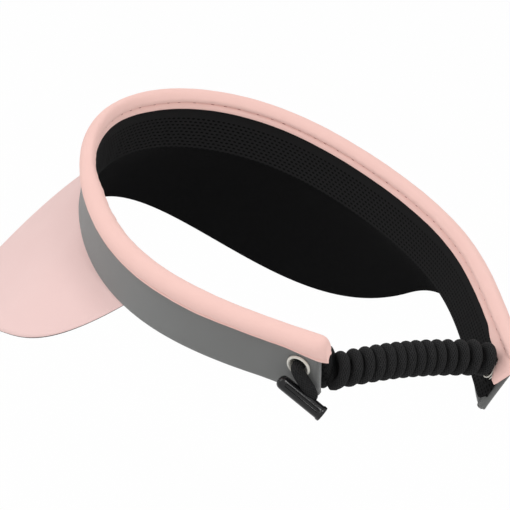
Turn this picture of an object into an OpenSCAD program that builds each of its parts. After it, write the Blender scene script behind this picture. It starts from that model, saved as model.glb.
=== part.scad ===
// Golf sun visor with a coiled stretch cord at the back.
// A curved brim is sewn to the front of a padded band. The band's two arms
// flex open at the temples, and a coil of elastic cord joins their rear ends
// through eyelets, each cord end held by a moulded toggle.
// Millimetres. +Y is the front, +X the wearer's right, +Z up, and the origin
// is the middle of the head opening.

/* [Band] */
// Length of the rolled rim from the front centre to a rear end
band_half_length = 225; // [205:1:245]
// Distance from the middle of the head opening to the front of the rim
band_front = 95; // [80:1:110]
// Depth of the band from the middle of the rolled rim to its lower edge
band_height = 20; // [17:0.5:26]
// Radius of the band's plan at the forehead
front_radius = 40; // [36:1:48]
// Radius of the band's plan a third of the way back
side_radius = 160; // [130:5:220]
// Radius of the band's plan two thirds of the way back
temple_radius = 100; // [90:5:120]
// Half the height by which the rim falls from the front to the rear
rim_fall = 11; // [4:0.5:16]
// Dip of the rim between the front and the rear
rim_dip = 1.8; // [0:0.1:4]
// Outward lean of the band's lower edge at the front, degrees
front_lean = 9.5; // [0:0.5:20]
// Outward lean of the lower edge half way back, degrees
side_lean = -4.5; // [-12:0.5:4]
// Outward lean of the lower edge at the rear, degrees
rear_lean = -24; // [-30:0.5:0]
// Distance along the rim at which the flexing arms begin
arm_start = 140; // [138:1:160]
// How much further out the right arm's end rests than the left's
right_spread = 17.5; // [0:0.5:22]
// How much lower the right arm's end rests than the left's
right_droop = 13.5; // [0:0.5:18]
// Radius of the lower corner at each arm's rear end
corner_radius = 1; // [0.5:0.5:7]
// Length by which the rolled rim runs on past the layers of the band
rim_overhang = 2.5; // [1:0.1:4]

/* [Layers] */
// Thickness of the outer cloth
shell_t = 0.8; // [0.5:0.1:1.2]
// Thickness of the plastic stiffener
stiffener_t = 0.8; // [0.5:0.1:1.2]
// Thickness of the foam pad
foam_t = 0.8; // [0.5:0.1:1.2]
// Thickness of the sweatband mesh
sweatband_t = 0.8; // [0.5:0.1:1.2]
// Clearance between neighbouring layers
layer_gap = 0.1; // [0.05:0.05:0.2]
// Clearance between the front and an arm at the flex line
flex_gap = 0.4; // [0.3:0.1:0.8]

/* [Binding] */
// Outer radius of the rolled rim
roll_radius = 3.8; // [3.4:0.1:4.6]
// Thickness of the binding cloth round the roll
roll_wall = 0.9; // [0.5:0.1:1.2]

/* [Brim] */
// Distance of the brim's tip ahead of the band's lower edge
brim_reach = 43.5; // [36:0.5:65]
// Drop of the brim's tip below the band's lower edge
brim_drop = 37; // [25:0.5:55]
// Half width of the flattened tip, as the edge curve's handle
brim_tip_width = 33; // [25:1:50]
// Distance along the rim at which the brim is widest
brim_side_at = 84.5; // [70:0.5:90]
// Flare of the brim's edge outside the band at its widest
brim_flare = 38; // [20:0.5:45]
// Drop of the brim's edge below the band at its widest
brim_side_drop = 40; // [30:0.5:50]
// Fall of the edge towards the tip at its widest, degrees
brim_side_slope = 30.5; // [15:0.5:38]
// Length of the edge curve's handle ahead of the widest point
brim_front_handle = 95; // [60:1:110]
// Length of the edge curve's handle behind the widest point
brim_rear_handle = 35; // [8:0.5:45]
// Distance along the rim at which the brim ends
brim_end_at = 132.5; // [125:0.5:136]
// Outward reach of the edge curve's handle at the brim's end
brim_end_out = 30; // [8:0.5:35]
// Forward reach of that handle
brim_end_forward = 22.5; // [10:0.5:40]
// Drop of that handle
brim_end_drop = 30.5; // [15:0.5:36]
// Width of the brim where it ends
brim_end_width = 1.5; // [1:0.5:6]
// Crown of the brim above a straight line from band to edge
brim_crown = 2.3; // [0:0.1:6]
// Margin of cloth round the brim board
brim_margin = 1.5; // [1:0.1:3]
// Thickness of the brim board
board_t = 1.2; // [0.8:0.1:2]
// Thickness of the cloth on each side of the board
brim_cover_t = 0.4; // [0.3:0.1:0.8]

/* [Eyelets] */
// Distance of each eyelet from the rear end of the rim
eyelet_back = 11; // [10:0.5:16]
// Depth of each eyelet below the rolled rim
eyelet_depth = 10; // [9.5:0.5:13]
// Radius of the hole in the eyelet
eyelet_hole_r = 3; // [2.6:0.1:3.6]
// Wall of the eyelet's barrel
eyelet_wall = 0.4; // [0.3:0.1:0.6]
// Width of the eyelet's flange outside its barrel
eyelet_flange = 0.9; // [0.4:0.1:1]
// Thickness of the eyelet's flange
eyelet_flange_t = 0.8; // [0.5:0.1:1.2]
// Thickness of the washer inside the band
washer_t = 0.6; // [0.4:0.1:1]
// Clearance round the eyelet and its washer
eyelet_gap = 0.15; // [0.1:0.05:0.25]

/* [Cord] */
// Diameter of the elastic cord
cord_d = 4.2; // [3:0.1:4.6]
// Outside diameter of the coil
coil_od = 12.6; // [11:0.1:13.4]
// Distance of the coil's left end inside the middle of the arm
coil_left_inset = 6.8; // [6.8:0.1:9]
// Distance of the coil's left end from the rear end of the rim
coil_left_back = 2.3; // [1:0.1:5]
// Depth of the coil's left end below the rolled rim
coil_left_depth = 16.4; // [12:0.1:18]
// Distance of the coil's right end inside the middle of the arm
coil_right_inset = 9.6; // [8.8:0.1:11]
// Distance of the coil's right end from the rear end of the rim
coil_right_back = 3.5; // [2:0.1:7]
// Depth of the coil's right end below the rolled rim
coil_right_depth = 5; // [4:0.1:12]

/* [Toggles] */
// Length of each moulded toggle
toggle_length = 19; // [14:0.5:24]
// Diameter of the toggle's middle
toggle_d = 5; // [4:0.1:5.4]
// Diameter of the toggle's flared ends
toggle_lip_d = 5.5; // [5:0.1:6]
// Length of each flared end
toggle_lip_t = 1.2; // [0.8:0.1:2]
// Width of the groove moulded along the toggle
toggle_groove = 1; // [0.6:0.1:1.4]
// Drop of the toggle's middle below its eyelet
toggle_drop = 9; // [8.5:0.1:14]
// Shift of the toggle's middle to the rear of its eyelet
toggle_shift = 2.6; // [0:0.1:5]
// Tilt of the toggle below the line of the band, degrees
toggle_tilt = 33; // [0:1:45]
// Distance of the toggle's middle line from the band's outer face
toggle_standoff = 5; // [4.6:0.1:7]
// Distance from the toggle's middle to the place where the cord enters it
toggle_entry = 3.2; // [0:0.1:5]
// Turn of the right toggle forwards about its eyelet, where it rests, degrees
right_toggle_turn = 75; // [0:5:90]

/* [Hidden] */
$fn = 48;

PINK = [0.96, 0.79, 0.77];
GREY = [0.53, 0.54, 0.56];
BLACK = [0.10, 0.10, 0.11];
CREAM = [0.86, 0.84, 0.78];
FOAM = [0.75, 0.75, 0.72];

UP = [0, 0, 1];
LEFT = -1;
RIGHT = 1;
plan_steps = 120;
front_steps = 40;
arm_steps = 12;
corner_steps = 4;
roll_steps = 10;
brim_steps = 44;
cord_sides = 10;
cord_rings = 7;

function reversed(list) = [for (i = [len(list) - 1 : -1 : 0]) list[i]];

// Levels of the layers, measured outwards from the middle of the band or the brim
band_t = shell_t + stiffener_t + foam_t + sweatband_t + 3 * layer_gap;
shell_level = [band_t / 2 - shell_t, band_t / 2];
stiffener_level = shell_level - [stiffener_t, shell_t] - [layer_gap, layer_gap];
foam_level = stiffener_level - [foam_t, stiffener_t] - [layer_gap, layer_gap];
sweatband_level = foam_level - [sweatband_t, foam_t] - [layer_gap, layer_gap];
board_level = [-board_t / 2, board_t / 2];
top_cover_level = [board_t / 2 + layer_gap, board_t / 2 + layer_gap + brim_cover_t];
under_cover_level = -reversed(top_cover_level);

// The layers start inside the roll, under its core
core_radius = roll_radius - roll_wall - layer_gap;
core_flat_share = 0.1;
core_floor = core_flat_share * core_radius;
layer_top = core_floor + layer_gap;
slot_half = band_t / 2 + layer_gap;

// Plan of the rim, from curvature that changes evenly between four stations
function curvature(f) = lookup(f, [[0, 1 / front_radius], [1 / 3, 1 / side_radius],
  [2 / 3, 1 / temple_radius], [1, 0]]);
function arc_turn(f, from, to) = let (end = min(f, to))
  end > from ? (end - from) * (curvature(from) + curvature(end)) / 2 : 0;
function turn(f) = band_half_length * 180 / PI
  * (arc_turn(f, 0, 1 / 3) + arc_turn(f, 1 / 3, 2 / 3) + arc_turn(f, 2 / 3, 1));
plan_step = band_half_length / plan_steps;
plan = [for (i = 0, x = 0, y = 0; i <= plan_steps; i = i + 1,
    x = x + plan_step * cos(turn((i - 0.5) / plan_steps)),
    y = y - plan_step * sin(turn((i - 0.5) / plan_steps))) [i / plan_steps, x, y]];
plan_x = [for (p = plan) [p[0], p[1]]];
plan_y = [for (p = plan) [p[0], p[2]]];

// A place on the band is given by its distance along the rim, negative on the left
function side(along) = along < 0 ? LEFT : RIGHT;
function share(along) = abs(along) / band_half_length;
function rest_bend(along) = along > arm_start
  ? pow((along - arm_start) / (band_half_length - arm_start), 2) : 0;
function rim(along) = let (f = share(along), bend = rest_bend(along))
  [side(along) * lookup(f, plan_x) + right_spread * bend,
   band_front + lookup(f, plan_y),
   rim_fall * cos(180 * f) + rim_dip * cos(360 * f) - right_droop * bend];
function lean(along) = let (f = share(along))
  front_lean * 2 * (f - 0.5) * (f - 1) - side_lean * 4 * f * (f - 1)
  + rear_lean * 2 * f * (f - 0.5);
function outward(along) = let (a = turn(share(along))) [side(along) * sin(a), cos(a), 0];
function normal(along) = outward(along) * cos(lean(along)) + UP * sin(lean(along));
function down(along) = outward(along) * sin(lean(along)) - UP * cos(lean(along));
function place(along, out, depth) = rim(along) + normal(along) * out + down(along) * depth;
function unit(v) = v / norm(v);
function mix(a, b, t) = a * (1 - t) + b * t;
function smooth(t) = let (c = min(max(t, 0), 1)) c * c * (3 - 2 * c);

// Distances along the rim at which each section of the band is drawn
front_edge = arm_start - flex_gap / 2;
front_stations = [for (i = [0 : front_steps]) mix(-front_edge, front_edge, i / front_steps)];
arm_first = arm_start + flex_gap / 2;
layer_end = band_half_length - rim_overhang;
function arm_stations(last) = concat(
  [for (i = [0 : arm_steps]) mix(arm_first, last - corner_radius, i / arm_steps)],
  [for (i = [1 : corner_steps]) last - corner_radius * (1 - sin(90 * i / corner_steps))]);
function lower_edge(along) = let (left = max(0, layer_end - abs(along)), r = corner_radius)
  left >= r ? band_height : band_height - r + sqrt(r * r - pow(r - left, 2));

// Closed mesh of rings with equal counts, turned so that its faces point outwards
function tetra(a, b, c) = cross(a, b) * c;
function mesh_volume(points, faces) = let (parts = [for (f = faces)
    tetra(points[f[0]], points[f[1]], points[f[2]])]) parts * [for (p = parts) 1];
module closed_mesh(points, faces) {
  inside_out = mesh_volume(points, faces) > 0;
  polyhedron(points, inside_out ? [for (f = faces) [f[2], f[1], f[0]]] : faces);
}
// A folded profile runs out along one face and back along the other, and both faces
// are cut into triangles along the same diagonals, so that layers lie evenly on each other
function ring_walls(rings, count, folded) = [for (i = [0 : rings - 2], j = [0 : count - 1])
  let (a = i * count + j, b = i * count + (j + 1) % count)
  each (folded && j >= count / 2 ? [[a, b, a + count], [b, b + count, a + count]]
    : [[a, b, b + count], [a, b + count, a + count]])];
function fan(first, count, flip) = [for (j = [1 : count - 2])
  flip ? [first, first + j + 1, first + j] : [first, first + j, first + j + 1]];
function strip(first, count, flip) = [for (j = [0 : count / 2 - 2])
  let (a = first + j, b = first + j + 1, c = first + count - 2 - j, d = first + count - 1 - j)
  each (flip ? [[a, c, b], [a, d, c]] : [[a, b, c], [a, c, d]])];
module loft(rings, folded) {
  count = len(rings[0]);
  last = (len(rings) - 1) * count;
  caps = folded ? concat(strip(0, count, true), strip(last, count, false))
    : concat(fan(0, count, true), fan(last, count, false));
  closed_mesh([for (r = rings) each r], concat(ring_walls(len(rings), count, folded), caps));
}

// One layer of the band, along a list of stations
module band_layer(stations, level, sign = 1) {
  loft([for (s = stations) let (a = sign * s, low = lower_edge(a))
    [place(a, level[0], layer_top), place(a, level[1], layer_top),
     place(a, level[1], low), place(a, level[0], low)]], true);
}
// Round an eyelet the layers have a clear hole
drill_length = 4 * band_t;
module pierced_layer(level, sign) {
  difference() {
    band_layer(arm_stations(layer_end), level, sign);
    at_eyelet(sign) cylinder(h = drill_length, r = barrel_r + eyelet_gap, center = true);
  }
}

// The binding is a roll with a slot below for the layers, and a core above them
function roll_point(r, angle) = [r * sin(angle), r * cos(angle)];
function roll_arc(r) = let (first = asin(slot_half / r))
  [for (i = [0 : roll_steps]) roll_point(r, mix(first, 360 - first, i / roll_steps))];
binding_profile = concat(roll_arc(roll_radius), reversed(roll_arc(roll_radius - roll_wall)));
core_first = acos(core_floor / core_radius);
core_profile = [for (i = [0 : roll_steps])
  roll_point(core_radius, mix(core_first, 360 - core_first, i / roll_steps))];
function profile_rings(stations, profile, sign) = [for (s = stations)
  [for (p = profile) place(sign * s, p[0], p[1])]];
module rolled_rim(stations, sign = 1) {
  loft(profile_rings(stations, binding_profile, sign), true);
}
module rim_core(stations, sign = 1) {
  loft(profile_rings(stations, core_profile, sign), false);
}
core_end = band_half_length - layer_gap;

// The brim is ruled from the band's lower edge to a curved free edge, with a crown
function bezier(p, t) = pow(1 - t, 3) * p[0] + 3 * t * pow(1 - t, 2) * p[1]
  + 3 * t * t * (1 - t) * p[2] + pow(t, 3) * p[3];
function seam(along) = place(along, 0, band_height + layer_gap);
tip = seam(0) + [0, brim_reach, -brim_drop];
widest = seam(brim_side_at) + outward(brim_side_at) * brim_flare - UP * brim_side_drop;
side_run = [0, cos(brim_side_slope), -sin(brim_side_slope)];
end_forward = unit(cross(UP, outward(brim_end_at)));
brim_end = seam(brim_end_at) + unit(outward(brim_end_at) - UP) * brim_end_width;
front_curve = [tip, tip + [brim_tip_width, 0, 0], widest + side_run * brim_front_handle, widest];
rear_curve = [widest, widest - side_run * brim_rear_handle,
  brim_end + outward(brim_end_at) * brim_end_out + end_forward * brim_end_forward
  - UP * brim_end_drop, brim_end];
widest_share = 2 / 3;
function right_edge(u) = u < widest_share ? bezier(front_curve, u / widest_share)
  : bezier(rear_curve, (u - widest_share) / (1 - widest_share));
function brim_edge(u) = let (e = right_edge(abs(u))) u < 0 ? [-e[0], e[1], e[2]] : e;
function brim_chord(u) = brim_edge(u) - seam(u * brim_end_at);
function brim_rise(u) = let (a = u * brim_end_at,
    run = unit(cross(UP, outward(a))), n = unit(cross(brim_chord(u), run)))
  n * normal(a) + n[2] < 0 ? -n : n;
brim_shares = [0, 0.04, 0.1, 0.25, 0.45, 0.65, 0.85, 1];
root_share = 0.1;
least_board_share = 0.5;
function brim_normal(u, v) =
  unit(mix(normal(u * brim_end_at), brim_rise(u), smooth(v / root_share)));
function brim_point(u, v, out) = seam(u * brim_end_at) + brim_chord(u) * v
  + brim_rise(u) * brim_crown * 4 * v * (1 - v) * (1 - u * u) + brim_normal(u, v) * out;
module brim_layer(level, margin) {
  loft([for (i = [0 : brim_steps]) let (u = 2 * i / brim_steps - 1,
      last = max(least_board_share, 1 - margin / norm(brim_chord(u))))
    concat([for (v = brim_shares) brim_point(u, v * last, level[1])],
      [for (v = reversed(brim_shares)) brim_point(u, v * last, level[0])])], true);
}

// Frame at an eyelet: its middle, and the directions rearwards along the band's face,
// outwards from that face, and down it
eyelet_at = band_half_length - eyelet_back;
function eyelet_middle(sign) = place(sign * eyelet_at, 0, eyelet_depth);
function eyelet_rearward(sign) = unit(place(sign * (eyelet_at + plan_step), 0, eyelet_depth)
  - place(sign * (eyelet_at - plan_step), 0, eyelet_depth));
function eyelet_outward(sign) =
  sign * unit(cross(eyelet_rearward(sign), down(sign * eyelet_at)));
function eyelet_down(sign) = sign * cross(eyelet_outward(sign), eyelet_rearward(sign));
module at_eyelet(sign) {
  t = eyelet_rearward(sign);
  d = eyelet_down(sign);
  n = eyelet_outward(sign);
  o = eyelet_middle(sign);
  multmatrix([[t[0], d[0], n[0], o[0]], [t[1], d[1], n[1], o[1]], [t[2], d[2], n[2], o[2]],
    [0, 0, 0, 1]]) children();
}
barrel_r = eyelet_hole_r + eyelet_wall;
flange_r = barrel_r + eyelet_flange;
flange_floor = band_t / 2 + eyelet_gap;
flange_top = flange_floor + eyelet_flange_t;
washer_top = -band_t / 2 - eyelet_gap;
washer_floor = washer_top - washer_t;
lip_top = washer_floor - layer_gap;
lip_floor = lip_top - eyelet_wall;
module eyelet(sign) {
  at_eyelet(sign) rotate_extrude() polygon([[eyelet_hole_r, lip_floor],
    [flange_r - eyelet_wall, lip_floor], [flange_r - eyelet_wall, lip_top],
    [barrel_r, lip_top], [barrel_r, flange_floor], [flange_r, flange_floor],
    [flange_r, flange_floor + eyelet_wall], [flange_r - eyelet_wall, flange_top],
    [eyelet_hole_r, flange_top]]);
}
module washer(sign) {
  at_eyelet(sign) translate([0, 0, washer_floor]) difference() {
    cylinder(h = washer_t, r = flange_r);
    translate([0, 0, -washer_t]) cylinder(h = 3 * washer_t, r = barrel_r + eyelet_gap);
  }
}

// Cord swept along a curve between two end directions, which its end faces stand square
// to, with its rings turned about a fixed side direction
module cord(path, ends, across) {
  last = len(path) - 1;
  loft([for (i = [0 : last]) let (t = i == 0 ? ends[0] : i == last ? ends[1]
        : unit(path[i + 1] - path[i - 1]),
      u = unit(across - t * (across * t)), v = cross(t, u))
    [for (j = [0 : cord_sides - 1]) let (a = 360 * j / cord_sides)
      path[i] + (u * cos(a) + v * sin(a)) * cord_d / 2]], false);
}

// The coil runs inside the arms' rear ends, and its two halves meet in the middle
function coil_end(sign) = sign < 0
  ? place(-(band_half_length - coil_left_back), -coil_left_inset, coil_left_depth)
  : place(band_half_length - coil_right_back, -coil_right_inset, coil_right_depth);
coil_run = coil_end(RIGHT) - coil_end(LEFT);
coil_axis = unit(coil_run);
coil_half = norm(coil_run) / 2 - flex_gap / 2;
module coil(sign) {
  axis = -sign * coil_axis;
  translate(coil_end(sign))
    rotate([0, acos(axis[2]), atan2(axis[1], axis[0])])
      cylinder(h = coil_half, r = coil_od / 2);
}
// From the coil's end a tail of cord turns into the eyelet
tail_start = lip_floor - 2 * layer_gap;
tail_handle_share = 1 / 3;
coil_r = (coil_od - cord_d) / 2;
function tail_path(sign) = let (n = eyelet_outward(sign), axis = sign * coil_axis,
    from = eyelet_middle(sign) + n * tail_start,
    toward = from - coil_end(sign),
    radial = unit(toward - axis * (toward * axis)),
    to = coil_end(sign) + radial * coil_r + axis * layer_gap,
    handle = norm(to - from) * tail_handle_share,
    curve = [from, from - n * handle, to + axis * handle, to])
  [for (i = [0 : cord_rings]) bezier(curve, i / cord_rings)];
module coil_tail(sign) {
  n = eyelet_outward(sign);
  cord(tail_path(sign), [-n, -sign * coil_axis], unit(cross(n, coil_axis)));
}

// Outside the eyelet the cord bends over to the toggle, which it enters
bar_level = band_t / 2 + toggle_standoff;
entry = [toggle_shift + toggle_entry * cos(toggle_tilt),
  toggle_drop + toggle_entry * sin(toggle_tilt), bar_level];
entry_side = [sin(toggle_tilt), -cos(toggle_tilt), 0];
entry_short = toggle_d / 4;
cord_bend = toggle_standoff;
function end_path() = let (from = [0, 0, tail_start + layer_gap],
    mouth = [0, 0, flange_top], to = entry + entry_side * entry_short,
    curve = [mouth, mouth + [0, 0, cord_bend], to + entry_side * cord_bend, to])
  concat([from], [for (i = [0 : cord_rings]) bezier(curve, i / cord_rings)]);
module at_rest(sign) {
  at_eyelet(sign) rotate([0, 0, sign < 0 ? 0 : right_toggle_turn]) children();
}
module cord_end(sign) {
  at_rest(sign) cord(end_path(), [UP, -entry_side], unit(cross(UP, entry_side)));
}
groove_length = toggle_length - 4 * toggle_lip_t;
module toggle(sign) {
  at_rest(sign) translate([toggle_shift, toggle_drop, bar_level])
    rotate([0, 0, toggle_tilt]) rotate([0, 90, 0]) difference() {
      union() {
        cylinder(h = toggle_length, d = toggle_d, center = true);
        for (end = [-1, 1])
          translate([0, 0, end * (toggle_length - toggle_lip_t) / 2])
            cylinder(h = toggle_lip_t, d = toggle_lip_d, center = true);
      }
      translate([-toggle_d / 2, 0, 0])
        cube([toggle_groove, toggle_groove, groove_length], center = true);
    }
}

module brim_board() color(GREY) brim_layer(board_level, brim_margin);
module brim_top_cover() color(PINK) brim_layer(top_cover_level, 0);
module brim_under_cover() color(BLACK) brim_layer(under_cover_level, 0);
module front_shell() color(GREY) band_layer(front_stations, shell_level);
module front_stiffener() color(CREAM) band_layer(front_stations, stiffener_level);
module front_foam() color(FOAM) band_layer(front_stations, foam_level);
module front_sweatband() color(BLACK) band_layer(front_stations, sweatband_level);
module front_binding() color(PINK) rolled_rim(front_stations);
module front_binding_core() color(FOAM) rim_core(front_stations);
module arm_shell(sign) color(GREY) pierced_layer(shell_level, sign);
module arm_stiffener(sign) color(CREAM) pierced_layer(stiffener_level, sign);
module arm_foam(sign) color(FOAM) pierced_layer(foam_level, sign);
module arm_sweatband(sign) color(BLACK) pierced_layer(sweatband_level, sign);
module arm_binding(sign) color(PINK) rolled_rim(arm_stations(band_half_length), sign);
module arm_binding_core(sign) color(FOAM) rim_core(arm_stations(core_end), sign);
module arm_eyelet(sign) color(CREAM) eyelet(sign);
module arm_washer(sign) color(CREAM) washer(sign);
module arm_coil(sign) color(BLACK) coil(sign);
module arm_coil_tail(sign) color(BLACK) coil_tail(sign);
module arm_cord_end(sign) color(BLACK) cord_end(sign);
module arm_toggle(sign) color(BLACK) toggle(sign);

brim_board();
brim_top_cover();
brim_under_cover();
front_shell();
front_stiffener();
front_foam();
front_sweatband();
front_binding();
front_binding_core();
arm_shell(LEFT);  // left_shell
arm_stiffener(LEFT);  // left_stiffener
arm_foam(LEFT);  // left_foam
arm_sweatband(LEFT);  // left_sweatband
arm_binding(LEFT);  // left_binding
arm_binding_core(LEFT);  // left_binding_core
arm_eyelet(LEFT);  // left_eyelet
arm_washer(LEFT);  // left_washer
arm_coil(LEFT);  // left_coil
arm_coil_tail(LEFT);  // left_coil_tail
arm_cord_end(LEFT);  // left_cord_end
arm_toggle(LEFT);  // left_toggle
arm_shell(RIGHT);  // right_shell
arm_stiffener(RIGHT);  // right_stiffener
arm_foam(RIGHT);  // right_foam
arm_sweatband(RIGHT);  // right_sweatband
arm_binding(RIGHT);  // right_binding
arm_binding_core(RIGHT);  // right_binding_core
arm_eyelet(RIGHT);  // right_eyelet
arm_washer(RIGHT);  // right_washer
arm_coil(RIGHT);  // right_coil
arm_coil_tail(RIGHT);  // right_coil_tail
arm_cord_end(RIGHT);  // right_cord_end
arm_toggle(RIGHT);  // right_toggle
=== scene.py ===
import math

import bpy
import numpy as np
from mathutils import Matrix, Vector


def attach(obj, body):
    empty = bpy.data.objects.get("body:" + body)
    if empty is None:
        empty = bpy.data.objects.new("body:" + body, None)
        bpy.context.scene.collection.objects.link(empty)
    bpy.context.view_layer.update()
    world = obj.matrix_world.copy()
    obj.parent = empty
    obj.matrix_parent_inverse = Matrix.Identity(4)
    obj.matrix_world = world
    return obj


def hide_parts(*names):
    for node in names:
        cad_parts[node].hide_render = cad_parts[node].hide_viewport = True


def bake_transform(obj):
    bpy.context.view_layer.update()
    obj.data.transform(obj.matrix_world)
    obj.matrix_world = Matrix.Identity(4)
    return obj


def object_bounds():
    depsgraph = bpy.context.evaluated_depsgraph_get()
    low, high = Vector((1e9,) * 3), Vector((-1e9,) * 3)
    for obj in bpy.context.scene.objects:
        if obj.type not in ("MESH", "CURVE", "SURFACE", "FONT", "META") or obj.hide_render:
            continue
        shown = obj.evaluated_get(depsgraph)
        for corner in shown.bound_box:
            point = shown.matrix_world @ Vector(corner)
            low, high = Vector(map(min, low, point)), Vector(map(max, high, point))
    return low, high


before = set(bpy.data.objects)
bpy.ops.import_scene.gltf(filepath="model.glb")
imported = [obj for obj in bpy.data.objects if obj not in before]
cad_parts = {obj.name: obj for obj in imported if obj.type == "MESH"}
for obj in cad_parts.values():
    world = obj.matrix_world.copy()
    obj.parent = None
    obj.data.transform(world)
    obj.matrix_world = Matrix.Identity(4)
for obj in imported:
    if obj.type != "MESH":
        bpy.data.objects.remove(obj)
cad_box = [[float(x) for x in corner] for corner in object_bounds()]

# The view: from behind and above, off the wearer's left shoulder, with a long lens.
# It is the photograph's own viewpoint, found from the outlines of the band and brim.
camera_data = bpy.data.cameras.new("view_camera")
camera_data.sensor_width = 36.0
camera_data.lens = 207.37
camera = bpy.data.objects.new("view_camera", camera_data)
camera.location = (-0.49646, -0.85039, 0.35785)
camera.rotation_euler = [math.radians(a) for a in (69.1109, -6.6111, -27.2917)]
bpy.context.scene.collection.objects.link(camera)
bpy.context.scene.camera = camera
bpy.context.scene.view_settings.view_transform = "Standard"


# The light: a soft white room, a broad key lamp high on the wearer's left, and a smaller
# lamp high behind that draws the highlights. The background is white to the camera and
# in reflections.
class Wire:
    """One output of a shader node. Sums, products and the like add Math nodes."""

    def __init__(self, tree, socket=None):
        self.tree = tree
        self.socket = socket

    def node(self, kind, settings=None, inputs=None, output=0):
        made = self.tree.nodes.new(kind)
        for name, value in (settings or {}).items():
            setattr(made, name, value)
        for name, value in (inputs or {}).items():
            if isinstance(value, Wire):
                self.tree.links.new(value.socket, made.inputs[name])
            else:
                made.inputs[name].default_value = value
        return Wire(self.tree, made.outputs[output] if made.outputs else None)

    def math(self, operation, *others):
        values = dict(enumerate((self,) + others))
        return self.node("ShaderNodeMath", {"operation": operation}, values)

    def __add__(self, other):
        return self.math("ADD", other)

    __radd__ = __add__

    def __mul__(self, other):
        return self.math("MULTIPLY", other)

    __rmul__ = __mul__

    def __sub__(self, other):
        return self.math("SUBTRACT", other)

    def __rsub__(self, other):
        return self.node("ShaderNodeMath", {"operation": "SUBTRACT"}, {0: other, 1: self})

    def __truediv__(self, other):
        return self.math("DIVIDE", other)

    def wave(self, length):
        return (self * (2 * math.pi / length)).math("SINE")

    def step(self, low, high):
        return self.node("ShaderNodeMapRange", {"interpolation_type": "SMOOTHSTEP"},
                         {"Value": self, "From Min": low, "From Max": high})

    def mix(self, first, second):
        return self.node("ShaderNodeMix", {"data_type": "RGBA"},
                         {0: self, 6: first, 7: second}, 2)


def white_to_camera(tree):
    """One for what the camera sees, straight or in a reflection, and none for light."""
    rays = Wire(tree).node("ShaderNodeLightPath")
    outputs = rays.socket.node.outputs
    glossy = Wire(tree, outputs["Is Glossy Ray"])
    clear = Wire(tree, outputs["Is Transmission Ray"])
    seen = Wire(tree, outputs["Is Camera Ray"])
    return seen.math("MAXIMUM", glossy.math("MAXIMUM", clear))


WHITE = (1.0, 1.0, 1.0, 1.0)
room_level = 0.73
world = bpy.data.worlds.new("white_room")
world.use_nodes = True
room = Wire(world.node_tree)
world.node_tree.nodes.clear()
soft = room.node("ShaderNodeBackground", None, {"Color": WHITE, "Strength": room_level})
seen = room.node("ShaderNodeBackground", None, {"Color": WHITE, "Strength": 1.0})
either = room.node("ShaderNodeMixShader", None,
                   {0: white_to_camera(world.node_tree), 1: soft, 2: seen})
room.node("ShaderNodeOutputWorld", None, {"Surface": either})
bpy.context.scene.world = world


def area_lamp(name, place, size, watts):
    data = bpy.data.lights.new(name, "AREA")
    data.size = size
    data.energy = watts
    lamp = bpy.data.objects.new(name, data)
    lamp.location = place
    lamp.rotation_euler = (-Vector(place)).to_track_quat("-Z", "Y").to_euler()
    bpy.context.scene.collection.objects.link(lamp)


area_lamp("key_lamp", place=(-0.75, 0.2, 0.75), size=0.6, watts=2.4)
area_lamp("fill_lamp", place=(0.0, -0.75, 1.0), size=0.3, watts=2.8)

# The floor: a plain pale sheet well below the visor, which hangs as on a head. It keeps
# the visor's soft shadow and is nearly white to the camera.
floor_gap = 0.12
floor_size = 8.0
floor_glow = 0.97
bpy.ops.object.select_all(action="DESELECT")
bpy.ops.mesh.primitive_plane_add(size=floor_size, location=(0, 0, cad_box[0][2] - floor_gap))
floor = bpy.context.object
floor.name = "floor"
floor_paint = bpy.data.materials.new("floor_paint")
floor_paint.use_nodes = True
floor_tree = floor_paint.node_tree
floor_tree.nodes.clear()
paint = Wire(floor_tree)
matt = paint.node("ShaderNodeBsdfDiffuse", None, {"Color": (0.9, 0.9, 0.9, 1.0)})
glow = paint.node("ShaderNodeEmission", None, {"Color": WHITE, "Strength": 1.0})
share = white_to_camera(floor_tree) * floor_glow
paint.node("ShaderNodeOutputMaterial", None, {
    "Surface": paint.node("ShaderNodeMixShader", None, {0: share, 1: matt, 2: glow})})
floor.data.materials.append(floor_paint)

# The coil cord: a black braided elastic cord wound into a spring that closes the back.
# It is one cord on the visor, in two halves here that meet in the middle of the coil,
# and each half ends in a tail that turns into the eyelet of its arm.
MM = 0.001
UP = np.array([0.0, 0.0, 1.0])
half_length = 225.0
band_front = 95.0
bend_knots = np.array([0.0, 1 / 3, 2 / 3, 1.0])
bends = np.array([1 / 40, 1 / 160, 1 / 100, 0.0])
rim_fall = 11.0
rim_dip = 1.8
leans = np.radians([9.5, -4.5, -24.0])
arm_start = 140.0
right_spread = 17.5
right_droop = 13.5
eyelet_at, eyelet_depth = 214.0, 10.0
SIDES = ((-1, "left"), (1, "right"))


def turn(share):
    """How far the rim has turned from the front, by its share of the half length."""
    total = np.zeros_like(share)
    for first, last, bend, next_bend in zip(bend_knots, bend_knots[1:], bends, bends[1:]):
        run = np.clip(share, first, last) - first
        total += run * (bend + (next_bend - bend) * run / (last - first) / 2)
    return half_length * total


plan_steps = 1800
plan_share = np.arange(plan_steps + 1) / plan_steps
plan_turn = turn(plan_share[:-1] + 0.5 / plan_steps)
plan_step = half_length / plan_steps
plan_x = np.concatenate([[0.0], np.cumsum(np.cos(plan_turn))]) * plan_step
plan_y = np.concatenate([[0.0], -np.cumsum(np.sin(plan_turn))]) * plan_step


def outward(along):
    """Level, and straight out of the rim."""
    heading = turn(np.abs(along) / half_length)
    side = np.where(along < 0, -1.0, 1.0)
    return np.stack([side * np.sin(heading), np.cos(heading), 0 * heading], -1)


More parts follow.
